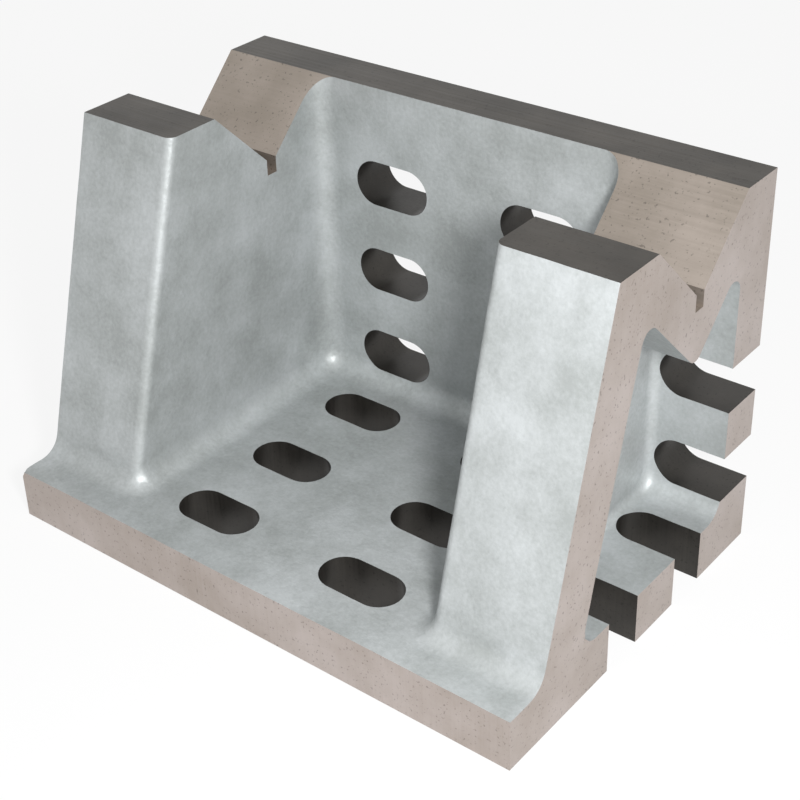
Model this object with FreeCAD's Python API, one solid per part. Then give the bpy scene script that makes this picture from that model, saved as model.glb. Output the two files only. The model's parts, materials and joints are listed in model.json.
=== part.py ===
# Slotted angle plate with webbed ends and a vee groove, cast in one piece.
#
# A horizontal base and an upright back plate meet at a right angle. An upright web near each end
# ties them together. Outside each web the casting is hollowed into an open pocket, and the rim left
# around the pocket comes out flush with the end face: a sloping flange in front and a band that
# follows the vee. Both plates have rows of slots, and the outer slots run out through the ends.
#
# Millimetres, +Z up. X runs along the length and the part is symmetric about X = 0. Y runs from
# the open front to the back plate. The origin is at the middle of the underside.

import FreeCAD, Part

import math
import os

# overall size
length = 225.0
depth = 150.0
height = 148.0

# the two plates
base_thickness = 20.0
back_thickness = 19.5

# end webs, measured out from the middle of the length
web_inner_x = 68.5
web_outer_x = 82.5

# sloping front flange: foot on the base and front edge of the small land at the top
ledge_depth = 17.0
land_front = 53.0
flange_thickness = 21.5

# vee groove across both ends, between the small land and the back plate
vee_front = 75.0
vee_rim_thickness = 17.5
relief_width = 5.0
relief_floor_height = 116.5

# slots, all long in X
slot_length = 33.5
slot_width = 18.0
slot_column_x = 33.5
end_slot_start_x = 85.0
base_rows = (25.5, 65.5, 108.0)
base_end_rows = (65.5, 108.0)
back_rows = (35.0, 72.0, 109.0)
back_end_rows = (35.0, 72.0)

# casting radii
flange_edge_radius = 3.5
inner_radius = 9.0
pocket_floor_radius = 4.0
pocket_peak_radius = 5.0
pocket_tip_radius = 4.5
pocket_front_radius = 7.0
pocket_back_radius = 9.0

# allowance by which a cutter passes the surface that it cuts
clearance = 5.0
match_tolerance = 1e-4

# planes derived from the dimensions above
front_y = -depth / 2.0
back_y = depth / 2.0
plate_y = back_y - back_thickness
foot_y = front_y + ledge_depth
land_y = front_y + land_front
vee_front_y = front_y + vee_front
vee_middle_y = (vee_front_y + plate_y) / 2.0
vee_half_width = (plate_y - vee_front_y) / 2.0
flange_slope = (land_y - foot_y) / (height - base_thickness)


def prism_along_x(points, x_start, x_end):
    """Solid with the given (y, z) outline, from x_start to x_end."""
    corners = [FreeCAD.Vector(x_start, y, z) for y, z in points]
    face = Part.Face(Part.makePolygon(corners + corners[:1]))
    return face.extrude(FreeCAD.Vector(x_end - x_start, 0.0, 0.0))


def edge_middle(edge):
    """Point halfway along an edge."""
    return edge.valueAt((edge.FirstParameter + edge.LastParameter) / 2.0)


def near(value, target):
    """True when two lengths agree within the matching tolerance."""
    return abs(value - target) < match_tolerance


def edges_where(solid, test):
    """Edges of the solid whose two ends and middle point all meet the test."""
    found = []
    for edge in solid.Edges:
        points = [vertex.Point for vertex in edge.Vertexes] + [edge_middle(edge)]
        if all(test(point) for point in points):
            found.append(edge)
    return found


def plain_angle_plate():
    """Base, back plate and thick solid ends with the sloping front, all corners still sharp."""
    outline = [
        (front_y, 0.0),
        (back_y, 0.0),
        (back_y, height),
        (land_y, height),
        (foot_y, base_thickness),
        (front_y, base_thickness),
    ]
    body = prism_along_x(outline, -length / 2.0, length / 2.0)
    bay = Part.makeBox(
        2.0 * web_inner_x,
        plate_y - front_y + clearance,
        height - base_thickness + clearance,
        FreeCAD.Vector(-web_inner_x, front_y - clearance, base_thickness),
    )
    return body.cut(bay)


def round_flange_edges(body):
    """Round the long front edge where each sloping flange turns into the inner face of its web."""

    def on_flange_edge(point):
        slope_y = foot_y + flange_slope * (point.z - base_thickness)
        return near(abs(point.x), web_inner_x) and near(point.y, slope_y)

    return body.makeFillet(flange_edge_radius, edges_where(body, on_flange_edge))


def fillet_inner_corners(body):
    """Casting fillet around the foot of flanges, webs and back plate and up where web meets plate."""

    def on_base_behind_ledge(point):
        return near(point.z, base_thickness) and point.y > foot_y - clearance

    def on_web_and_plate(point):
        return near(abs(point.x), web_inner_x) and near(point.y, plate_y)

    corners = edges_where(body, on_base_behind_ledge) + edges_where(body, on_web_and_plate)
    return body.makeFillet(inner_radius, corners)


def pocket_cutter():
    """Hollow of the right-hand end: an M outline under the vee, rounded in outline and at its floor."""
    shift_y = flange_thickness * math.hypot(1.0, flange_slope)
    rim_drop = vee_rim_thickness * math.sqrt(2.0)
    inner_foot_y = foot_y + shift_y
    front_band_sum = vee_front_y + height - rim_drop
    back_band_difference = height - plate_y - rim_drop
    tip = (vee_middle_y, vee_middle_y + back_band_difference)
    peak_z = (front_band_sum - inner_foot_y + flange_slope * base_thickness) / (1.0 + flange_slope)
    front_peak = (front_band_sum - peak_z, peak_z)
    back_peak = (plate_y, plate_y + back_band_difference)
    front_corner = (inner_foot_y, base_thickness)
    back_corner = (plate_y, base_thickness)
    outline = [front_corner, front_peak, tip, back_peak, back_corner]
    cutter = prism_along_x(outline, web_outer_x, length / 2.0 + clearance)
    for (y, z), radius in (
        (front_corner, pocket_front_radius),
        (front_peak, pocket_peak_radius),
        (tip, pocket_tip_radius),
        (back_peak, pocket_peak_radius),
        (back_corner, pocket_back_radius),
    ):
        corner_edges = edges_where(cutter, lambda point: near(point.y, y) and near(point.z, z))
        cutter = cutter.makeFillet(radius, corner_edges)
    floor_edges = edges_where(cutter, lambda point: near(point.x, web_outer_x))
    return cutter.makeFillet(pocket_floor_radius, floor_edges)


def vee_cutter():
    """Right-angled groove along the whole length with a narrow relief slot at its root."""
    half_width = vee_half_width + clearance
    groove = prism_along_x(
        [
            (vee_middle_y - half_width, height + clearance),
            (vee_middle_y, height - vee_half_width),
            (vee_middle_y + half_width, height + clearance),
        ],
        -length / 2.0 - clearance,
        length / 2.0 + clearance,
    )
    relief = Part.makeBox(
        length + 2.0 * clearance,
        relief_width,
        height - relief_floor_height,
        FreeCAD.Vector(-length / 2.0 - clearance, vee_middle_y - relief_width / 2.0, relief_floor_height),
    )
    return groove.fuse(relief)


def slot_cutter(x_start, x_end):
    """Upright cutter for one slot from x_start to x_end, round at both ends, standing on Z = 0."""
    radius = slot_width / 2.0
    left = x_start + radius
    right = x_end - radius
    tall = base_thickness + inner_radius + 2.0 * clearance
    bar = Part.makeBox(right - left, slot_width, tall, FreeCAD.Vector(left, -radius, 0.0))
    ends = [Part.makeCylinder(radius, tall, FreeCAD.Vector(x, 0.0, 0.0)) for x in (left, right)]
    return bar.multiFuse(ends).removeSplitter()


def slot_row(with_end_slots):
    """Cutters of one row: two closed slots and, where asked for, one open slot at each end."""
    half = slot_length / 2.0
    open_end = length / 2.0 + slot_width
    row = [slot_cutter(side * slot_column_x - half, side * slot_column_x + half) for side in (-1.0, 1.0)]
    if with_end_slots:
        row.append(slot_cutter(end_slot_start_x, open_end))
        row.append(slot_cutter(-open_end, -end_slot_start_x))
    return row


def slot_cutters():
    """All slot cutters, placed through the base and through the back plate."""
    cutters = []
    for row in base_rows:
        for cutter in slot_row(row in base_end_rows):
            cutter.translate(FreeCAD.Vector(0.0, front_y + row, -clearance))
            cutters.append(cutter)
    for row in back_rows:
        for cutter in slot_row(row in back_end_rows):
            cutter.rotate(FreeCAD.Vector(0.0, 0.0, 0.0), FreeCAD.Vector(1.0, 0.0, 0.0), 90.0)
            cutter.translate(FreeCAD.Vector(0.0, back_y + clearance, row))
            cutters.append(cutter)
    return cutters


def angle_plate():
    """The finished casting."""
    body = plain_angle_plate()
    body = round_flange_edges(body)
    body = fillet_inner_corners(body)
    pocket = pocket_cutter()
    opposite_pocket = pocket.mirror(FreeCAD.Vector(0.0, 0.0, 0.0), FreeCAD.Vector(1.0, 0.0, 0.0))
    body = body.cut([pocket, opposite_pocket, vee_cutter()])
    body = body.cut(slot_cutters())
    return body.removeSplitter()


def main():
    """Build the casting and write it as parts/angle_plate.step."""
    os.makedirs("parts", exist_ok=True)
    body = angle_plate()
    print("solids", len(body.Solids), "valid", body.isValid(), "volume", round(body.Volume))
    body.Solids[0].exportStep("parts/angle_plate.step")


main()
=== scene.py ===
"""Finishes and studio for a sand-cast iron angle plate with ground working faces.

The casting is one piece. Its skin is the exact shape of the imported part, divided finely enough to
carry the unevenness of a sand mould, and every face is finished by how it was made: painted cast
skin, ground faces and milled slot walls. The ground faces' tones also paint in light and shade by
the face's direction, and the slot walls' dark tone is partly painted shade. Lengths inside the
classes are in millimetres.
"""

import json
import logging
import math
from dataclasses import dataclass
from enum import Enum
from typing import Any

import bpy
import numpy as np
from mathutils import Matrix, Vector, geometry


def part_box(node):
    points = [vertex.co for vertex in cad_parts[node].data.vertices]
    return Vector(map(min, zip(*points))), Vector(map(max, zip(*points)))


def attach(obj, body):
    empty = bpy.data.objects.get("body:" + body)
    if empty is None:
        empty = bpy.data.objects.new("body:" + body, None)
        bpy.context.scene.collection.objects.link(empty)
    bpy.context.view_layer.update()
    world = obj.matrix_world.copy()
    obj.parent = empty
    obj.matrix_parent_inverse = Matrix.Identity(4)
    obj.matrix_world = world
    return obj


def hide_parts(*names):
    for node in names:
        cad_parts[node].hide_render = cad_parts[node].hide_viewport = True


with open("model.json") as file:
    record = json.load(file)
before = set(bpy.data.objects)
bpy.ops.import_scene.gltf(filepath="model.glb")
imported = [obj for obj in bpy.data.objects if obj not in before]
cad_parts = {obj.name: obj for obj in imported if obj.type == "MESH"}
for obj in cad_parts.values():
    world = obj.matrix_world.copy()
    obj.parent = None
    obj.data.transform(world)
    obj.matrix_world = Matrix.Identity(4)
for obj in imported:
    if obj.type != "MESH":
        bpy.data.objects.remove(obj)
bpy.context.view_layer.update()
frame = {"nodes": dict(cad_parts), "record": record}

LOG = logging.getLogger("angle_plate")
MM = 0.001

# a length below this counts as nothing where it divides
TINY = 1e-12
# points tested at once, which bounds the memory that the whole-array tests take
INSIDE_BATCH = 2048
GAP_BATCH = 1024
# millimetres within which two points of a triangulation count as one
SAME_POINT = 1e-7
# a triangle has no area when its area in square millimetres is under half of this
SLIVER = 1e-6
# a flat is taken out when it has a side longer than this many edges of the cast skin
LONG_SIDE = 2.0
# millimetres by which the corners of a flat may leave its plane, and least cosine between its faces
ON_PLANE = 0.004
SAME_WAY = 0.9
# degrees between two faces above which their edge is sharp
SHARP_ANGLE = 34.0


class Skin(Enum):
    """How one face of the casting was made, with the ground faces split by direction so that each takes its
    own painted light or shade. The value is the face's material index.
    """

    CAST = 0
    GROUND_END = 1
    GROUND_VEE = 2
    GROUND_EDGE = 3
    GROUND_LAND = 4
    MILLED = 5


class Lay(Enum):
    """Direction of the grinding lines on a machined face."""

    ALONG_LENGTH = "along the length"
    UPRIGHT = "upright"


@dataclass(frozen=True)
class PlateSizes:
    """Sizes of the casting that tell its faces apart, in millimetres, with Y from the middle."""

    half_length: float
    half_depth: float
    height: float
    base_thickness: float
    plate_front: float
    slot_radius: float
    base_slots: np.ndarray
    back_slots: np.ndarray
    vee_front: float = 0.0
    relief_half_width: float = 2.5
    vee_floor: float = 116.0
    end_slot_start: float = 94.0
    end_slot_reach: float = 40.0
    base_end_rows: tuple[float, ...] = (-9.5, 33.0)
    back_end_rows: tuple[float, ...] = (35.0, 72.0)

    @classmethod
    def from_record(cls, record: dict[str, Any]) -> "PlateSizes":
        """Read the slot rows from the stated bolt patterns and the rest from the part's box.

        Args:
            record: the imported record.

        Returns:
            The sizes of this casting.
        """
        low, high = (np.array(corner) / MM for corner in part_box("angle_plate"))
        mounts = {mount["name"]: mount for mount in record["mounts"]}

        def rows(pattern: str, middle: str, axis: int) -> list[float]:
            """Heights or depths of the three rows of one plate.

            Args:
                pattern: name of the mount that states the outer rows.
                middle: name of the mount that states the middle row.
                axis: 1 for depths and 2 for heights.

            Returns:
                The three rows, in rising order.
            """
            outer, inner = mounts[pattern], mounts[middle]
            centre, reach = outer["pos_m"][axis] / MM, outer["dims"]["spacing_y_mm"] / 2.0
            return [centre - reach, inner["pos_m"][axis] / MM, centre + reach]

        dims = mounts["base_slots_middle"]["dims"]
        column, radius = dims["spacing_x_mm"] / 2.0, dims["hole_r_mm"]
        run = dims["slot_length_mm"] / 2.0 - radius
        reach = cls.end_slot_start + cls.end_slot_reach

        def slots(closed: list[float], open_rows: tuple[float, ...]) -> np.ndarray:
            """List the slots of one plate by the ends of their middle lines in X, and their rows.

            Args:
                closed: rows of the closed slots.
                open_rows: rows of the slots that run out through the ends.

            Returns:
                Start, end and row of each slot.
            """
            parts = [[side * column - run, side * column + run, row] for row in closed for side in (-1, 1)]
            parts += [[cls.end_slot_start, reach, row] for row in open_rows]
            parts += [[-reach, -cls.end_slot_start, row] for row in open_rows]
            return np.array(parts)

        base_rows = rows("base_slots_front_and_rear", "base_slots_middle", 1)
        back_rows = rows("back_slots_high_and_low", "back_slots_middle", 2)
        plate_top = mounts["back_plate_top"]["pos_m"][1] / MM
        return cls(
            half_length=high[0],
            half_depth=high[1],
            height=high[2],
            base_thickness=mounts["base_slots_middle"]["pos_m"][2] / MM,
            plate_front=2.0 * plate_top - high[1],
            slot_radius=radius,
            base_slots=slots(base_rows, cls.base_end_rows),
            back_slots=slots(back_rows, cls.back_end_rows),
        )


@dataclass(frozen=True)
class Blemish:
    """A small flaw of the casting: a pit in a face, or a corner that has been knocked round."""

    place: tuple[float, float, float]
    inward: tuple[float, float, float]
    radius: float
    depth: float


@dataclass(frozen=True)
class Sizing:
    """Longest edges of the triangles, in millimetres, away from blemishes and at them."""

    cast_edge: float
    cast_flat: float
    machined_edge: float
    blemish_edge: float
    growth: float
    blemishes: tuple[Blemish, ...]
    fine_zone: float = 1.3

    def limits(self, skins: np.ndarray) -> np.ndarray:
        """Longest edge for each face by its skin."""
        return np.where(skins == Skin.CAST.value, self.cast_edge, self.machined_edge)

    def near_blemishes(self, places: np.ndarray) -> np.ndarray:
        """Longest edge at each place: finest at a blemish, growing in step with the distance from it.

        Args:
            places: points in millimetres.

        Returns:
            One limit for each place.
        """
        limit = np.full(len(places), np.inf)
        for blemish in self.blemishes:
            away = np.linalg.norm(places - np.array(blemish.place), axis=1) - self.fine_zone * blemish.radius
            limit = np.minimum(limit, self.blemish_edge + self.growth * np.maximum(away, 0.0))
        return limit


@dataclass(frozen=True)
class Flat:
    """One flat stretch of the surface, which is taken out and divided afresh into even triangles."""

    normal: np.ndarray
    level: float
    skin: int
    spacing: float

    def axes(self) -> np.ndarray:
        """Two directions in the flat that make a right-handed set with its normal.

        Returns:
            The two directions, one in each line.
        """
        helper = np.eye(3)[np.argmin(np.abs(self.normal))]
        first = np.cross(helper, self.normal)
        first /= np.linalg.norm(first)
        return np.stack([first, np.cross(self.normal, first)])

    @staticmethod
    def inside(points: np.ndarray, starts: np.ndarray, ends: np.ndarray) -> np.ndarray:
        """Tell which points lie inside an outline with holes.

        A ray towards +X from an inside point crosses the outline an odd number of times.

        Args:
            points: places in the plane.
            starts: first end of each side of the outline.
            ends: second end of each side.

        Returns:
            True for each inside point.
        """
        found = np.zeros(len(points), bool)
        for part in np.array_split(np.arange(len(points)), len(points) // INSIDE_BATCH + 1):
            x, y = points[part, 0, None], points[part, 1, None]
            spans = (starts[:, 1] > y) != (ends[:, 1] > y)
            rise = np.where(spans, ends[:, 1] - starts[:, 1], 1.0)
            cross = starts[:, 0] + (y - starts[:, 1]) / rise * (ends[:, 0] - starts[:, 0])
            found[part] = (spans & (cross > x)).sum(axis=1) % 2 == 1
        return found

    @staticmethod
    def gap(points: np.ndarray, starts: np.ndarray, ends: np.ndarray) -> np.ndarray:
        """Distance from each point to the nearest side of the outline.

        The foot of the perpendicular on a side is held between the side's two ends.

        Args:
            points: places in the plane.
            starts: first end of each side of the outline.
            ends: second end of each side.

        Returns:
            One distance for each point.
        """
        found = np.full(len(points), np.inf)
        along = ends - starts
        square = (along**2).sum(axis=1)
        for part in np.array_split(np.arange(len(points)), len(points) // GAP_BATCH + 1):
            offset = points[part, None] - starts
            share = np.clip((offset * along).sum(axis=2) / square, 0.0, 1.0)
            found[part] = np.linalg.norm(offset - share[..., None] * along, axis=2).min(axis=1)
        return found

    def lattice(self, starts: np.ndarray, ends: np.ndarray) -> np.ndarray:
        """Triangular lattice of points inside the outline, half a spacing clear of it.

        Args:
            starts: first end of each side of the outline.
            ends: second end of each side.

        Returns:
            The lattice points.
        """
        low, high = starts.min(axis=0), starts.max(axis=0)
        rise = self.spacing * math.sqrt(3.0) / 2.0
        rows = np.arange(low[1] + rise / 2.0, high[1], rise)
        columns = np.arange(low[0], high[0], self.spacing)
        x, y = np.meshgrid(columns, rows)
        x = x + np.where(np.arange(len(rows)) % 2 == 1, self.spacing / 2.0, 0.0)[:, None]
        points = np.stack([x.ravel(), y.ravel()], axis=1)
        points = points[self.inside(points, starts, ends)]
        return points[self.gap(points, starts, ends) > 0.5 * self.spacing]

    def divide(self, points: np.ndarray, rim: np.ndarray) -> tuple[np.ndarray, np.ndarray]:
        """Triangulate the flat between its rim and a lattice of inner points.

        A triangle with a side on the rim is kept if it lies on the rim's left, which is the
        flat's own side; any other is kept if it has an area and its middle lies inside the rim.

        Args:
            points: all points of the surface.
            rim: directed sides of the rim as pairs of points.

        Returns:
            The inner points, and the faces with indices that run on from the surface's points.
        """
        ids, place = np.unique(rim, return_inverse=True)
        place = place.reshape(-1, 2)
        axes = self.axes()
        outline = points[ids] @ axes.T
        starts, ends = outline[place[:, 0]], outline[place[:, 1]]
        inner = self.lattice(starts, ends)
        flat = np.concatenate([outline, inner])
        spots = [Vector(spot) for spot in flat.tolist()]
        made = geometry.delaunay_2d_cdt(spots, place.tolist(), [], 0, SAME_POINT, True)
        origin = np.fromiter(map(min, made[3]), np.int64)
        faces = origin[np.array(made[2])]
        a, b, c = flat[faces].transpose(1, 0, 2)
        first, second = b - a, c - a
        keep = self.inside((a + b + c) / 3.0, starts, ends)
        keep &= np.abs(first[:, 0] * second[:, 1] - first[:, 1] * second[:, 0]) > SLIVER
        code = np.array([len(flat), 1])
        rim_sides = place @ code
        keep |= np.isin(faces[:, [0, 1, 1, 2, 2, 0]].reshape(-1, 3, 2) @ code, rim_sides).any(axis=1)
        keep &= ~np.isin(faces[:, [1, 0, 2, 1, 0, 2]].reshape(-1, 3, 2) @ code, rim_sides).any(axis=1)
        lookup = np.concatenate([ids, len(points) + np.arange(len(inner))])
        return inner @ axes + self.level * self.normal, lookup[faces[keep]]


@dataclass
class SurfaceMesh:
    """A closed triangle mesh held as whole arrays, in millimetres.

    While flats are taken out, their rims stay in the mesh as directed sides, so that a rim is
    divided in step with the faces that still touch it.
    """

    points: np.ndarray
    faces: np.ndarray
    skins: np.ndarray
    rims: np.ndarray
    rim_flats: np.ndarray

    @classmethod
    def from_node(cls, node: bpy.types.Object) -> "SurfaceMesh":
        """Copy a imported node's loose triangles and merge the corners that share a place.

        Args:
            node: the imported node, which is left as it is.

        Returns:
            The merged mesh with every face marked as cast.
        """
        mesh = node.data
        mesh.calc_loop_triangles()
        points = np.empty(len(mesh.vertices) * 3)
        mesh.vertices.foreach_get("co", points)
        faces = np.empty(len(mesh.loop_triangles) * 3, np.int64)
        mesh.loop_triangles.foreach_get("vertices", faces)
        points = points.reshape(-1, 3) / MM
        _, first, place = np.unique(np.round(points, 3), axis=0, return_index=True, return_inverse=True)
        faces = place.reshape(-1)[faces].reshape(-1, 3)
        faces = faces[(faces != faces[:, [1, 2, 0]]).all(axis=1)]
        none = np.zeros((0, 2), np.int64)
        return cls(points[first], faces, np.full(len(faces), Skin.CAST.value), none, none[:, 0])

    def corners(self) -> np.ndarray:
        """Places of the three corners of every face."""
        return self.points[self.faces]

    def area_vectors(self) -> np.ndarray:
        """Half the cross product of two sides of every face, which points outwards."""
        a, b, c = self.corners().transpose(1, 0, 2)
        return np.cross(b - a, c - a) / 2.0

    def take_out_flats(self, sizing: Sizing) -> list[Flat]:
        """Take out every flat stretch that has a long side, broad or narrow, and keep its rim.

        A face belongs to a flat when it has the flat's skin, faces the same way and has all
        three corners on the plane.

        Args:
            sizing: gives the spacing of the points for each skin.

        Returns:
            The flats, in the order of the numbers kept with the rims.
        """
        corners = self.corners()
        vectors = self.area_vectors()
        normals = vectors / np.maximum(np.linalg.norm(vectors, axis=1, keepdims=True), TINY)
        reach = np.linalg.norm(corners - corners[:, [1, 2, 0]], axis=2).max(axis=1)
        free = np.ones(len(self.faces), bool)
        flats, rims, numbers = [], [], []
        for seed in np.argsort(-np.linalg.norm(vectors, axis=1)):
            if not free[seed] or reach[seed] < LONG_SIDE * sizing.cast_edge:
                continue
            normal = normals[seed]
            level = corners[seed].mean(axis=0) @ normal
            member = free & (self.skins == self.skins[seed]) & (normals @ normal > SAME_WAY)
            member &= (np.abs(corners @ normal - level) < ON_PLANE).all(axis=1)
            sides = self.faces[member][:, [0, 1, 1, 2, 2, 0]].reshape(-1, 2)
            key = sides.min(axis=1) * len(self.points) + sides.max(axis=1)
            _, place, count = np.unique(key, return_inverse=True, return_counts=True)
            rim = sides[count[place] == 1]
            cast = self.skins[seed] == Skin.CAST.value
            rims.append(rim)
            numbers.append(np.full(len(rim), len(flats)))
            spacing = sizing.cast_flat if cast else sizing.machined_edge
            flats.append(Flat(normal, float(level), int(self.skins[seed]), spacing))
            free &= ~member
        self.faces, self.skins = self.faces[free], self.skins[free]
        self.rims, self.rim_flats = np.concatenate(rims), np.concatenate(numbers)
        return flats

    def put_back_flats(self, flats: list[Flat]) -> None:
        """Divide each flat afresh between its rim and a lattice, and close the mesh with it.

        Args:
            flats: the flats that were taken out, in the order of their numbers.
        """
        for number, flat in enumerate(flats):
            inner, faces = flat.divide(self.points, self.rims[self.rim_flats == number])
            self.points = np.concatenate([self.points, inner])
            self.faces = np.concatenate([self.faces, faces])
            self.skins = np.concatenate([self.skins, np.full(len(faces), flat.skin)])
        self.rims, self.rim_flats = self.rims[:0], self.rim_flats[:0]

    def halve_long_edges(self, face_limit: np.ndarray, rim_limit: np.ndarray, sizing: Sizing) -> bool:
        """Halve edges that are longer than their limit, and divide the faces to match.

        Only an edge that is the longest side of a face, or that touches no face yet, is halved
        in one pass, so that a thin face is cut across and not along. The faces on both sides of
        an edge see the same middle point, so the mesh stays closed.

        Args:
            face_limit: longest edge wanted in each face.
            rim_limit: longest edge wanted in each rim.
            sizing: shorter limits around the blemishes.

        Returns:
            Whether any edge was halved.
        """
        count = len(self.faces)
        sides = np.concatenate([self.faces[:, [0, 1, 1, 2, 2, 0]].reshape(-1, 2), self.rims])
        key = sides.min(axis=1) * len(self.points) + sides.max(axis=1)
        edges, place = np.unique(key, return_inverse=True)
        edges = np.column_stack(np.divmod(edges, len(self.points)))
        face_edges = place[: 3 * count].reshape(-1, 3)
        ends = self.points[edges]
        length = np.linalg.norm(ends[:, 0] - ends[:, 1], axis=1)
        limit = sizing.near_blemishes(ends.mean(axis=1))
        np.minimum.at(limit, place, np.concatenate([np.repeat(face_limit, 3), rim_limit]))
        chosen = np.bincount(face_edges.ravel(), minlength=len(edges)) == 0
        longest = np.argmax(length[face_edges], axis=1)
        chosen[face_edges[np.arange(count), longest]] = True
        chosen &= length > limit
        if not chosen.any():
            return False
        index = np.full(len(edges), -1)
        index[chosen] = len(self.points) + np.arange(chosen.sum())
        self.points = np.concatenate([self.points, ends[chosen].mean(axis=1)])
        self.halve_rims(index[place[3 * count :]])
        self.halve_faces(index[face_edges])
        return True

    def halve_rims(self, halves: np.ndarray) -> None:
        """Replace each rim side that has a middle point by its two halves.

        Args:
            halves: the middle point of each rim side, or -1 where the side stays whole.
        """
        cut = halves >= 0
        first = np.column_stack([self.rims[cut, 0], halves[cut]])
        second = np.column_stack([halves[cut], self.rims[cut, 1]])
        self.rims = np.concatenate([self.rims[~cut], first, second])
        flats = self.rim_flats
        self.rim_flats = np.concatenate([flats[~cut], flats[cut], flats[cut]])

    def halve_faces(self, halves: np.ndarray) -> None:
        """Divide each face by the middle points of its edges.

        A face with one halved edge becomes two, with two halved edges three, and with three
        halved edges four.

        Args:
            halves: the middle point of each edge of every face, or -1 where the edge stays whole.
        """
        count = (halves >= 0).sum(axis=1)
        turn = np.zeros(len(self.faces), np.int64)
        turn[count == 1] = np.argmax(halves[count == 1] >= 0, axis=1)
        turn[count == 2] = (np.argmax(halves[count == 2] < 0, axis=1) + 1) % 3
        order = (turn[:, None] + np.arange(3)) % 3
        a, b, c = np.take_along_axis(self.faces, order, axis=1).T
        ab, bc, ca = np.take_along_axis(halves, order, axis=1).T
        one, two, three = count == 1, count == 2, count == 3
        across = np.linalg.norm(self.points[a] - self.points[bc], axis=1)
        other = np.linalg.norm(self.points[ab] - self.points[c], axis=1)
        near, far = two & (across <= other), two & (across > other)
        pieces = [
            (count == 0, (a, b, c)),
            (one, (a, ab, c)),
            (one, (ab, b, c)),
            (two, (ab, b, bc)),
            (near, (a, ab, bc)),
            (near, (a, bc, c)),
            (far, (a, ab, c)),
            (far, (ab, bc, c)),
            (three, (a, ab, ca)),
            (three, (ab, b, bc)),
            (three, (ca, bc, c)),
            (three, (ab, bc, ca)),
        ]
        self.faces = np.concatenate([np.stack(trio, axis=1)[mask] for mask, trio in pieces])
        self.skins = np.concatenate([self.skins[mask] for mask, _ in pieces])

    def divide(self, sizing: Sizing) -> None:
        """Divide the whole mesh: curved skin and rims first, then the flats, then around the blemishes.

        Args:
            sizing: longest edges for each skin and around the blemishes.
        """
        flats = self.take_out_flats(sizing)
        flat_limits = sizing.limits(np.array([flat.skin for flat in flats]))
        while self.halve_long_edges(sizing.limits(self.skins), flat_limits[self.rim_flats], sizing):
            pass
        self.put_back_flats(flats)
        no_rims = np.zeros(0)
        while self.halve_long_edges(np.full(len(self.faces), np.inf), no_rims, sizing):
            pass

    def to_object(self, name: str) -> bpy.types.Object:
        """Make the Blender object, in metres.

        Args:
            name: name of the object.

        Returns:
            The linked object, smooth except at its true edges.
        """
        used, place = np.unique(self.faces, return_inverse=True)
        faces = place.reshape(-1, 3)
        mesh = bpy.data.meshes.new(name)
        mesh.vertices.add(len(used))
        mesh.vertices.foreach_set("co", (self.points[used] * MM).astype(np.float32).ravel())
        mesh.loops.add(faces.size)
        mesh.loops.foreach_set("vertex_index", faces.ravel().astype(np.int32))
        mesh.polygons.add(len(faces))
        mesh.polygons.foreach_set("loop_start", np.arange(0, faces.size, 3, dtype=np.int32))
        mesh.polygons.foreach_set("material_index", self.skins.astype(np.int32))
        mesh.update(calc_edges=True)
        mesh.validate()
        mesh.polygons.foreach_set("use_smooth", np.ones(len(faces), bool))
        mesh.set_sharp_from_angle(angle=math.radians(SHARP_ANGLE))
        piece = bpy.data.objects.new(name, mesh)
        bpy.context.scene.collection.objects.link(piece)
        return piece


@dataclass(frozen=True)
class LatticeNoise:
    """Smooth noise from seeded random values on a cubic lattice.

    The value at a point is the mean of the eight lattice values around it, weighted along each
    axis by the smooth step 3t^2 - 2t^3 of the point's place between the lattice planes.
    """

    seed: int
    period: int = 64
    shift: float = 0.37

    def __call__(self, points: np.ndarray, grain: float) -> np.ndarray:
        """Noise between -1 and 1 whose bumps are about as wide as the grain.

        Args:
            points: places in millimetres.
            grain: distance between lattice planes in millimetres.

        Returns:
            One value for each point.
        """
        table = np.random.default_rng(self.seed).uniform(-1.0, 1.0, (self.period,) * 3)
        scaled = points / grain + self.shift
        cell = np.floor(scaled).astype(np.int64)
        part = scaled - cell
        part = part * part * (3.0 - 2.0 * part)
        total = np.zeros(len(points))
        for corner in np.ndindex(2, 2, 2):
            x, y, z = ((cell + corner) % self.period).T
            weight = np.where(np.array(corner) == 1, part, 1.0 - part).prod(axis=1)
            total += weight * table[x, y, z]
        return total


@dataclass(frozen=True)
class MouldUnevenness:
    """Unevenness that a sand mould leaves in the skin: a broad swell, a ripple and lumps of grain."""

    swell: tuple[float, float] = (34.0, 0.16)
    ripple: tuple[float, float] = (10.0, 0.07)
    lumps: tuple[float, float] = (4.2, 0.05)
    first_seed: int = 11

    def height(self, points: np.ndarray) -> np.ndarray:
        """Sum of three noises, each with its own width and height in millimetres.

        Args:
            points: places in millimetres.

        Returns:
            How far each point moves out.
        """
        total = np.zeros(len(points))
        for seed, (grain, height) in enumerate((self.swell, self.ripple, self.lumps), self.first_seed):
            total += height * LatticeNoise(seed)(points, grain)
        return total


def hex_to_linear(code: str) -> tuple[float, float, float, float]:
    """Turn an sRGB hex colour into linear red, green, blue and alpha.

    Args:
        code: six hex digits.

    Returns:
        The linear colour with alpha 1.
    """
    parts = np.array([int(code[i : i + 2], 16) for i in (0, 2, 4)]) / 255.0
    linear = np.where(parts <= 0.04045, parts / 12.92, ((parts + 0.055) / 1.055) ** 2.4)
    return (*linear.tolist(), 1.0)


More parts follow.
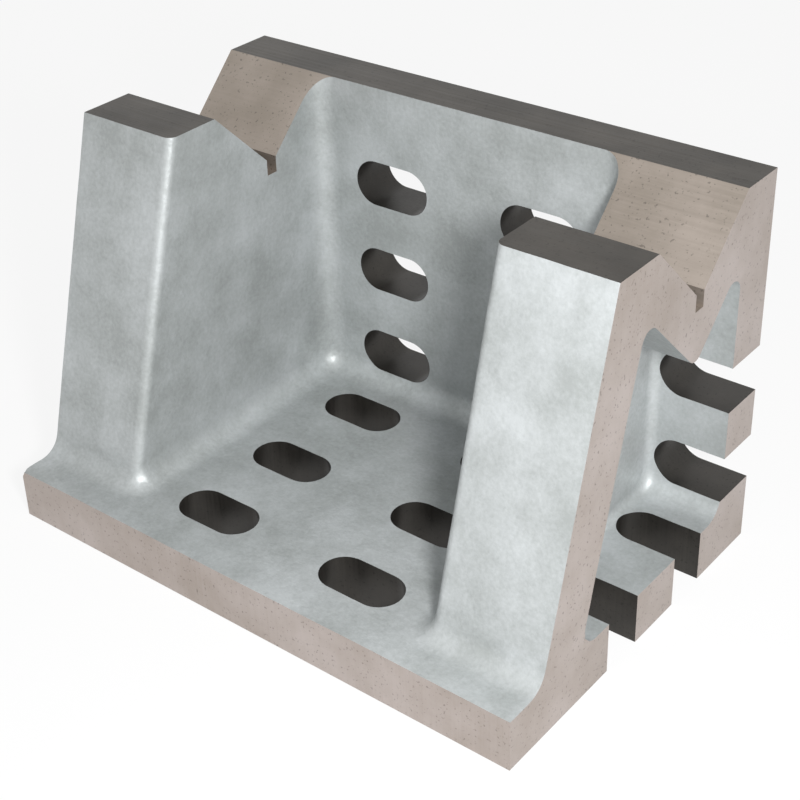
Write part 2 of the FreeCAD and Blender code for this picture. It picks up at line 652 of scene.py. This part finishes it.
def add_node(
    tree: bpy.types.NodeTree,
    kind: str,
    settings: dict[str, Any] | None = None,
    inputs: dict[str | int, Any] | None = None,
) -> bpy.types.Node:
    """Add one node with its settings, its plain input values and its links.

    Args:
        tree: the node tree.
        kind: the node's type name.
        settings: attributes of the node.
        inputs: for each input, a socket to link from or a plain value.

    Returns:
        The node.
    """
    node = tree.nodes.new(kind)
    for key, value in (settings or {}).items():
        setattr(node, key, value)
    for key, value in (inputs or {}).items():
        if isinstance(value, bpy.types.NodeSocket):
            tree.links.new(value, node.inputs[key])
        else:
            node.inputs[key].default_value = value
    return node


def add_ramp(
    tree: bpy.types.NodeTree, source: bpy.types.NodeSocket, stops: list[tuple[float, tuple[float, ...]]]
) -> bpy.types.NodeSocket:
    """Add a colour ramp.

    Args:
        tree: the node tree.
        source: the number that picks the colour.
        stops: place and colour of each stop, in rising order.

    Returns:
        The colour that is picked.
    """
    node = add_node(tree, "ShaderNodeValToRGB", inputs={"Fac": source})
    ramp = node.color_ramp
    while len(ramp.elements) < len(stops):
        ramp.elements.new(1.0)
    for element, (place, colour) in zip(ramp.elements, stops):
        element.position = place
        element.color = colour
    return node.outputs["Color"]


def per_metre(size_mm: float) -> float:
    """Noise scale that makes one bump about as wide as the size given in millimetres."""
    return 1.0 / (size_mm * MM)


def grey(value: float) -> tuple[float, float, float, float]:
    """A neutral ramp colour used as a plain number."""
    return (value, value, value, 1.0)


@dataclass(frozen=True)
class PaintedCastSkin:
    """Aluminium paint sprayed over sand-cast grey iron.

    To the eye it is a pale silver grey with a soft sheen, mottled by the sand grain beneath, with
    bright specks where single grains catch the light and a slightly duller tone in broad patches.
    """

    name: str = "aluminium_painted_cast_skin"
    pale: str = "B4B8B9"
    middle: str = "A5A9A9"
    dull: str = "979B9A"
    grain_mm: float = 1.5
    lump_mm: float = 4.5
    patch_mm: float = 26.0
    metallic: float = 0.35
    roughness: float = 0.5
    roughness_swing: float = 0.07
    grain_share: float = 0.42
    stops: tuple[float, float, float] = (0.52, 0.70, 0.92)
    grain_relief_mm: float = 0.16
    lump_relief_mm: float = 0.5

    def build(self) -> bpy.types.Material:
        """Make the material: patches and grain in the colour, grain and lumps in the relief.

        Returns:
            The material.
        """
        material = bpy.data.materials.new(self.name)
        material.use_nodes = True
        tree = material.node_tree
        shader = tree.nodes["Principled BSDF"]
        place = add_node(tree, "ShaderNodeTexCoord").outputs["Object"]
        patches = add_node(
            tree,
            "ShaderNodeTexNoise",
            inputs={"Vector": place, "Scale": per_metre(self.patch_mm), "Detail": 4.0, "Roughness": 0.6},
        )
        grain = add_node(
            tree,
            "ShaderNodeTexNoise",
            inputs={"Vector": place, "Scale": per_metre(self.grain_mm), "Detail": 3.0, "Roughness": 0.62},
        )
        lumps = add_node(
            tree,
            "ShaderNodeTexNoise",
            inputs={"Vector": place, "Scale": per_metre(self.lump_mm), "Detail": 2.0, "Roughness": 0.5},
        )
        tone = add_node(
            tree,
            "ShaderNodeMath",
            {"operation": "MULTIPLY_ADD"},
            {0: grain.outputs["Fac"], 1: self.grain_share, 2: patches.outputs["Fac"]},
        )
        tones = zip(self.stops, (self.dull, self.middle, self.pale))
        colour = add_ramp(tree, tone.outputs[0], [(stop, hex_to_linear(code)) for stop, code in tones])
        rough = add_node(
            tree,
            "ShaderNodeMapRange",
            inputs={
                "Value": grain.outputs["Fac"],
                "From Min": 0.3,
                "From Max": 0.7,
                "To Min": self.roughness + self.roughness_swing,
                "To Max": self.roughness - self.roughness_swing,
            },
        )
        relief = add_node(
            tree,
            "ShaderNodeBump",
            inputs={"Height": grain.outputs["Fac"], "Strength": 0.6, "Distance": self.grain_relief_mm * MM},
        )
        relief = add_node(
            tree,
            "ShaderNodeBump",
            inputs={
                "Height": lumps.outputs["Fac"],
                "Strength": 0.5,
                "Distance": self.lump_relief_mm * MM,
                "Normal": relief.outputs["Normal"],
            },
        )
        shader.inputs["Metallic"].default_value = self.metallic
        tree.links.new(colour, shader.inputs["Base Color"])
        tree.links.new(rough.outputs["Result"], shader.inputs["Roughness"])
        tree.links.new(relief.outputs["Normal"], shader.inputs["Normal"])
        return material


@dataclass(frozen=True)
class GroundIron:
    """Bare grey cast iron, ground flat and lightly aged.

    To the eye it is a warm grey metal with fine lines along the grinding direction, faint darker
    clouds from handling and oil, and small dark specks where the graphite shows.
    """

    name: str
    light: str
    dark: str
    lay: Lay
    metallic: float = 0.75
    roughness: float = 0.42
    line_mm: float = 0.9
    line_length_mm: float = 70.0
    cloud_mm: float = 30.0
    speck_mm: float = 1.1
    line_share: float = 0.35
    stops: tuple[float, float] = (0.50, 0.86)
    speck_stops: tuple[float, float] = (0.26, 0.36)
    speck_tone: float = 0.62
    roughness_change: tuple[float, float] = (-0.06, 0.08)
    line_relief_mm: float = 0.05

    def build(self) -> bpy.types.Material:
        """Make the material: clouds, lines and specks in the colour, lines in the relief.

        Returns:
            The material.
        """
        material = bpy.data.materials.new(self.name)
        material.use_nodes = True
        tree = material.node_tree
        shader = tree.nodes["Principled BSDF"]
        place = add_node(tree, "ShaderNodeTexCoord").outputs["Object"]
        fine, long = per_metre(self.line_mm), per_metre(self.line_length_mm)
        stretch = (long, fine, fine) if self.lay is Lay.ALONG_LENGTH else (fine, fine, long)
        stretched = add_node(tree, "ShaderNodeMapping", inputs={"Vector": place, "Scale": stretch})
        lines = add_node(
            tree,
            "ShaderNodeTexNoise",
            inputs={"Vector": stretched.outputs["Vector"], "Scale": 1.0, "Detail": 3.0, "Roughness": 0.65},
        )
        clouds = add_node(
            tree,
            "ShaderNodeTexNoise",
            inputs={"Vector": place, "Scale": per_metre(self.cloud_mm), "Detail": 5.0, "Roughness": 0.6},
        )
        specks = add_node(
            tree,
            "ShaderNodeTexNoise",
            inputs={"Vector": place, "Scale": per_metre(self.speck_mm), "Detail": 1.0},
        )
        tone = add_node(
            tree,
            "ShaderNodeMath",
            {"operation": "MULTIPLY_ADD"},
            {0: lines.outputs["Fac"], 1: self.line_share, 2: clouds.outputs["Fac"]},
        )
        tones = zip(self.stops, (self.dark, self.light))
        colour = add_ramp(tree, tone.outputs[0], [(stop, hex_to_linear(code)) for stop, code in tones])
        specked, clear = self.speck_stops
        speck_tones = [(specked, grey(self.speck_tone)), (clear, grey(1.0))]
        speck_mask = add_ramp(tree, specks.outputs["Fac"], speck_tones)
        colour = add_node(
            tree,
            "ShaderNodeMix",
            {"data_type": "RGBA", "blend_type": "MULTIPLY"},
            {0: 1.0, 6: colour, 7: speck_mask},
        ).outputs[2]
        smoother, rougher = self.roughness_change
        rough = add_node(
            tree,
            "ShaderNodeMapRange",
            inputs={
                "Value": lines.outputs["Fac"],
                "From Min": 0.3,
                "From Max": 0.7,
                "To Min": self.roughness + smoother,
                "To Max": self.roughness + rougher,
            },
        )
        relief = add_node(
            tree,
            "ShaderNodeBump",
            inputs={"Height": lines.outputs["Fac"], "Strength": 0.35, "Distance": self.line_relief_mm * MM},
        )
        shader.inputs["Metallic"].default_value = self.metallic
        tree.links.new(colour, shader.inputs["Base Color"])
        tree.links.new(rough.outputs["Result"], shader.inputs["Roughness"])
        tree.links.new(relief.outputs["Normal"], shader.inputs["Normal"])
        return material


@dataclass(frozen=True)
class CastingFinishes:
    """The finish of every kind of face, in the order of the Skin values; the ground faces' tones paint light
    and shade by direction, and the slot walls carry painted shade.
    """

    cast: PaintedCastSkin = PaintedCastSkin()
    # one ground iron in tones set by face direction: the ends' lighter tone is painted light, reflected from
    # the right
    end: GroundIron = GroundIron("ground_iron_ends_painted_light", "B5ABA6", "A2978F", Lay.UPRIGHT)
    # the vee flanks' tone is the light they get at their slope, painted in
    vee: GroundIron = GroundIron("ground_iron_vee_painted_light", "A39990", "90877D", Lay.ALONG_LENGTH)
    # front, back and bottom faces: the darker tone is painted shade
    edge: GroundIron = GroundIron("ground_iron_edges_painted_shade", "8C837E", "6F6863", Lay.ALONG_LENGTH)
    # top lands near black: a painted reflection of the dark surroundings above
    land: GroundIron = GroundIron("ground_iron_lands_painted_dark_reflection", "524E49", "403D39", Lay.ALONG_LENGTH)
    # slot walls near black: partly their own unpainted iron, partly painted shade of the slot recesses
    milled: GroundIron = GroundIron(
        "milled_slot_walls_and_painted_shade", "3F3C38", "2C2A27", Lay.UPRIGHT, metallic=0.6, roughness=0.4
    )

    def materials(self) -> list[bpy.types.Material]:
        """Build the materials in order."""
        return [part.build() for part in (self.cast, self.end, self.vee, self.edge, self.land, self.milled)]


@dataclass
class AnglePlateCasting:
    """The whole casting as one closed surface."""

    sizes: PlateSizes
    sizing: Sizing
    unevenness: MouldUnevenness
    finishes: CastingFinishes
    name: str = "angle_plate_casting"

    def mark_skins(self, surface: SurfaceMesh) -> None:
        """Give every face its skin from the plane or slot wall that it lies on.

        Args:
            surface: the merged mesh, still with its first faces.
        """
        sizes = self.sizes
        vectors = surface.area_vectors()
        nx, ny, nz = (vectors / np.maximum(np.linalg.norm(vectors, axis=1, keepdims=True), TINY)).T
        x, y, z = surface.corners().transpose(2, 0, 1)
        near = 0.02
        fillet_reach = 6.0

        def lies(values: np.ndarray) -> np.ndarray:
            """Faces with all three corners on a plane or wall."""
            return (np.abs(values) < near).all(axis=1)

        def on_wall(across: np.ndarray, slots: np.ndarray) -> np.ndarray:
            """Faces whose corners lie on the wall of one of the slots.

            Args:
                across: the corners' places across the slots.
                slots: start, end and row of each slot.

            Returns:
                True for each such face.
            """
            found = np.zeros(len(across), bool)
            for start, end, row in slots:
                beyond = np.maximum(np.maximum(start - x, x - end), 0.0)
                found |= lies(np.hypot(beyond, across - row) - sizes.slot_radius)
            return found

        in_base = z.mean(axis=1) < sizes.base_thickness + fillet_reach
        in_back = y.mean(axis=1) > sizes.plate_front - fillet_reach
        above_floor = z.mean(axis=1) > sizes.vee_floor
        milled = on_wall(y, sizes.base_slots) & (np.abs(nz) < near) & in_base
        milled |= on_wall(z, sizes.back_slots) & (np.abs(ny) < near) & in_back
        ends = lies(np.abs(x) - sizes.half_length)
        vee = lies(y + z - sizes.height - sizes.vee_front) & (ny > 0.5)
        vee |= lies(z - y - sizes.height + sizes.plate_front) & (ny < -0.5) & above_floor
        middle = (sizes.vee_front + sizes.plate_front) / 2.0
        in_relief = (np.abs(y - middle) < sizes.relief_half_width + near).all(axis=1)
        vee |= in_relief & above_floor & (np.abs(nx) < near)
        edge = lies(z) | lies(np.abs(y) - sizes.half_depth)
        land = lies(z - sizes.height)
        for skin, mask in (
            (Skin.MILLED, milled),
            (Skin.GROUND_VEE, vee),
            (Skin.GROUND_EDGE, edge),
            (Skin.GROUND_LAND, land),
            (Skin.GROUND_END, ends),
        ):
            surface.skins[mask] = skin.value

    def roughen(self, surface: SurfaceMesh) -> None:
        """Move the cast skin in and out along its normal by the unevenness of the mould.

        A point that the skin shares with one machined face slides within that face, so the edge
        between them wanders a little. A point shared with two machined faces stays.

        Args:
            surface: the evenly divided mesh.
        """
        vectors = surface.area_vectors()
        cast = surface.skins == Skin.CAST.value
        count = len(surface.points)

        def gather(values: np.ndarray, mask: np.ndarray) -> np.ndarray:
            """Sum a value of each masked face over the points that it touches.

            Args:
                values: one line for each face.
                mask: the faces that count.

            Returns:
                One line for each point.
            """
            total = np.zeros((count, values.shape[1]))
            for corner in range(3):
                np.add.at(total, surface.faces[mask, corner], values[mask])
            return total

        along = gather(vectors, cast)
        along /= np.maximum(np.linalg.norm(along, axis=1, keepdims=True), TINY)
        machined = gather(vectors, ~cast)
        size = gather(np.linalg.norm(vectors, axis=1, keepdims=True), ~cast)[:, 0]
        length = np.linalg.norm(machined, axis=1)
        one_plane = 0.985
        single = length > one_plane * size
        plane = machined / np.maximum(length, TINY)[:, None]
        move = along * self.unevenness.height(surface.points)[:, None]
        shared = size > 0.0
        move[shared] -= plane[shared] * (move[shared] * plane[shared]).sum(axis=1)[:, None]
        move[shared & ~single] = 0.0
        surface.points = surface.points + move

    def add_blemishes(self, surface: SurfaceMesh) -> None:
        """Press each blemish in by a bell curve of the distance from its middle, with a ragged rim.

        Args:
            surface: the mesh to change.
        """
        ragged = LatticeNoise(seed=41)
        extent, raggedness, grain, steepness = 2.5, 0.35, 0.9, 1.6
        for blemish in self.sizing.blemishes:
            away = np.linalg.norm(surface.points - np.array(blemish.place), axis=1)
            near = away < extent * blemish.radius
            rim = ragged(surface.points[near], grain * blemish.radius)
            reach = blemish.radius * (1.0 + raggedness * rim)
            depth = blemish.depth * np.exp(-((away[near] / reach) ** 2) * steepness)
            surface.points[near] += depth[:, None] * np.array(blemish.inward)

    def build(self, node: bpy.types.Object) -> bpy.types.Object:
        """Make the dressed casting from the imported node.

        Args:
            node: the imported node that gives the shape.

        Returns:
            The finished piece, riding on the root body in place of the node.
        """
        surface = SurfaceMesh.from_node(node)
        self.mark_skins(surface)
        surface.divide(self.sizing)
        self.roughen(surface)
        self.add_blemishes(surface)
        piece = surface.to_object(self.name)
        for material in self.finishes.materials():
            piece.data.materials.append(material)
        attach(piece, "root")
        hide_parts(node.name)
        LOG.info("%s: %d triangles", piece.name, len(piece.data.polygons))
        return piece


@dataclass(frozen=True)
class Studio:
    """Plain pale floor, soft light and the camera."""

    eye_mm: tuple[float, float, float]
    azimuth: float
    elevation: float
    roll: float
    lens_mm: float
    shift: tuple[float, float]
    lamp_mm: tuple[float, float, float] = (322.0, -279.0, 320.0)
    lamp_size_mm: float = 70.0
    lamp_power: float = 3.0
    world_strength: float = 0.45
    aim_height_mm: float = 60.0
    sensor_mm: float = 36.0
    floor_radius_m: float = 6.0
    floor_sides: int = 96
    floor_drop_mm: float = 0.2
    floor_tone: str = "E6E6E6"
    floor_glow: float = 0.88

    def background_mix(self, tree: bpy.types.NodeTree) -> bpy.types.NodeSocket:
        """One where the camera, a mirror or a see-through surface looks straight at the background.

        Args:
            tree: the node tree of the background.

        Returns:
            One in such a view, and nought in any other light path.
        """
        path = add_node(tree, "ShaderNodeLightPath").outputs
        seen = add_node(
            tree,
            "ShaderNodeMath",
            {"operation": "MAXIMUM"},
            {0: path["Is Camera Ray"], 1: path["Is Glossy Ray"]},
        )
        seen = add_node(
            tree,
            "ShaderNodeMath",
            {"operation": "MAXIMUM"},
            {0: seen.outputs[0], 1: path["Is Transmission Ray"]},
        )
        return seen.outputs[0]

    def build_world(self) -> None:
        """White where the background is seen, and a plain soft light everywhere else."""
        world = bpy.data.worlds.new("studio")
        world.use_nodes = True
        tree = world.node_tree
        seen = self.background_mix(tree)
        strength = add_node(
            tree,
            "ShaderNodeMapRange",
            inputs={"Value": seen, "To Min": self.world_strength, "To Max": 1.0},
        )
        background = tree.nodes["Background"]
        background.inputs["Color"].default_value = (1.0, 1.0, 1.0, 1.0)
        tree.links.new(strength.outputs["Result"], background.inputs["Strength"])
        bpy.context.scene.world = world

    def build_floor(self) -> bpy.types.Object:
        """Round pale floor: white where it is seen, with a light trace of the object's shadow.

        Returns:
            The floor.
        """
        turn = np.linspace(0.0, 2.0 * np.pi, self.floor_sides, endpoint=False)
        ring = np.column_stack([np.cos(turn), np.sin(turn), np.zeros_like(turn)]) * self.floor_radius_m
        mesh = bpy.data.meshes.new("studio_floor")
        mesh.from_pydata(ring.tolist(), [], [list(range(self.floor_sides))])
        floor = bpy.data.objects.new("studio_floor", mesh)
        floor.location.z = -self.floor_drop_mm * MM
        bpy.context.scene.collection.objects.link(floor)
        material = bpy.data.materials.new("pale_studio_floor")
        material.use_nodes = True
        tree = material.node_tree
        shader = tree.nodes["Principled BSDF"]
        shader.inputs["Base Color"].default_value = hex_to_linear(self.floor_tone)
        shader.inputs["Roughness"].default_value = 1.0
        shader.inputs["Specular IOR Level"].default_value = 0.0
        glow = add_node(tree, "ShaderNodeEmission", inputs={"Strength": 1.0})
        share = add_node(
            tree,
            "ShaderNodeMapRange",
            inputs={"Value": self.background_mix(tree), "To Min": 0.0, "To Max": self.floor_glow},
        )
        mix = add_node(
            tree,
            "ShaderNodeMixShader",
            inputs={0: share.outputs["Result"], 1: shader.outputs["BSDF"], 2: glow.outputs["Emission"]},
        )
        tree.links.new(mix.outputs["Shader"], tree.nodes["Material Output"].inputs["Surface"])
        mesh.materials.append(material)
        return floor

    def build_lamp(self) -> None:
        """One soft round lamp beside the camera, turned towards the middle of the object."""
        data = bpy.data.lights.new("key_lamp", "AREA")
        data.shape = "DISK"
        data.size = self.lamp_size_mm * MM
        data.energy = self.lamp_power
        lamp = bpy.data.objects.new("key_lamp", data)
        lamp.location = Vector(self.lamp_mm) * MM
        aim = Vector((0.0, 0.0, self.aim_height_mm * MM)) - lamp.location
        lamp.rotation_euler = aim.to_track_quat("-Z", "Y").to_euler()
        bpy.context.scene.collection.objects.link(lamp)

    def build_camera(self) -> None:
        """Camera at the set place, looking along the set azimuth and elevation."""
        data = bpy.data.cameras.new("camera")
        data.lens = self.lens_mm
        data.sensor_width = self.sensor_mm
        data.shift_x, data.shift_y = self.shift
        camera = bpy.data.objects.new("camera", data)
        turn, rise, roll = (math.radians(a) for a in (self.azimuth, self.elevation, self.roll))
        back = Vector((math.sin(turn) * math.cos(rise), -math.cos(turn) * math.cos(rise), math.sin(rise)))
        right = back.cross(Vector((0.0, 0.0, -1.0))).normalized()
        up = back.cross(right)
        side = right * math.cos(roll) + up * math.sin(roll)
        top = up * math.cos(roll) - right * math.sin(roll)
        basis = Matrix((side, top, back)).transposed().to_4x4()
        camera.matrix_world = Matrix.Translation(Vector(self.eye_mm) * MM) @ basis
        bpy.context.scene.collection.objects.link(camera)
        bpy.context.scene.camera = camera

    def build(self) -> None:
        """Set up the whole studio."""
        self.build_world()
        self.build_floor()
        self.build_lamp()
        self.build_camera()
        bpy.context.scene.view_settings.view_transform = "Standard"


def main() -> None:
    """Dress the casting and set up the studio."""
    logging.basicConfig(level=logging.INFO, format="%(name)s: %(message)s")
    sizes = PlateSizes.from_record(frame["record"])
    inward_end = (-1.0, 0.0, 0.0)
    front_corner = (-sizes.half_length, -sizes.half_depth, sizes.base_thickness)
    blemishes = (
        Blemish((sizes.half_length, -58.7, 25.7), inward_end, radius=1.3, depth=1.1),
        Blemish((sizes.half_length, -32.3, 23.4), inward_end, radius=1.5, depth=0.7),
        Blemish(front_corner, (0.5, 0.5, -0.7), radius=2.2, depth=1.0),
    )
    coarse = 1.0
    sizing = Sizing(
        cast_edge=2.0 * coarse,
        cast_flat=1.45 * coarse,
        machined_edge=12.0,
        blemish_edge=0.45,
        growth=0.45,
        blemishes=blemishes,
    )
    casting = AnglePlateCasting(sizes, sizing, MouldUnevenness(), CastingFinishes())
    casting.build(frame["nodes"]["angle_plate"])
    studio = Studio(
        eye_mm=(318.4, -377.5, 368.8),
        azimuth=39.7987,
        elevation=30.3414,
        roll=-2.1153,
        lens_mm=72.81,
        shift=(0.02615, -0.0735),
    )
    studio.build()


if __name__ == "__main__":
    main()
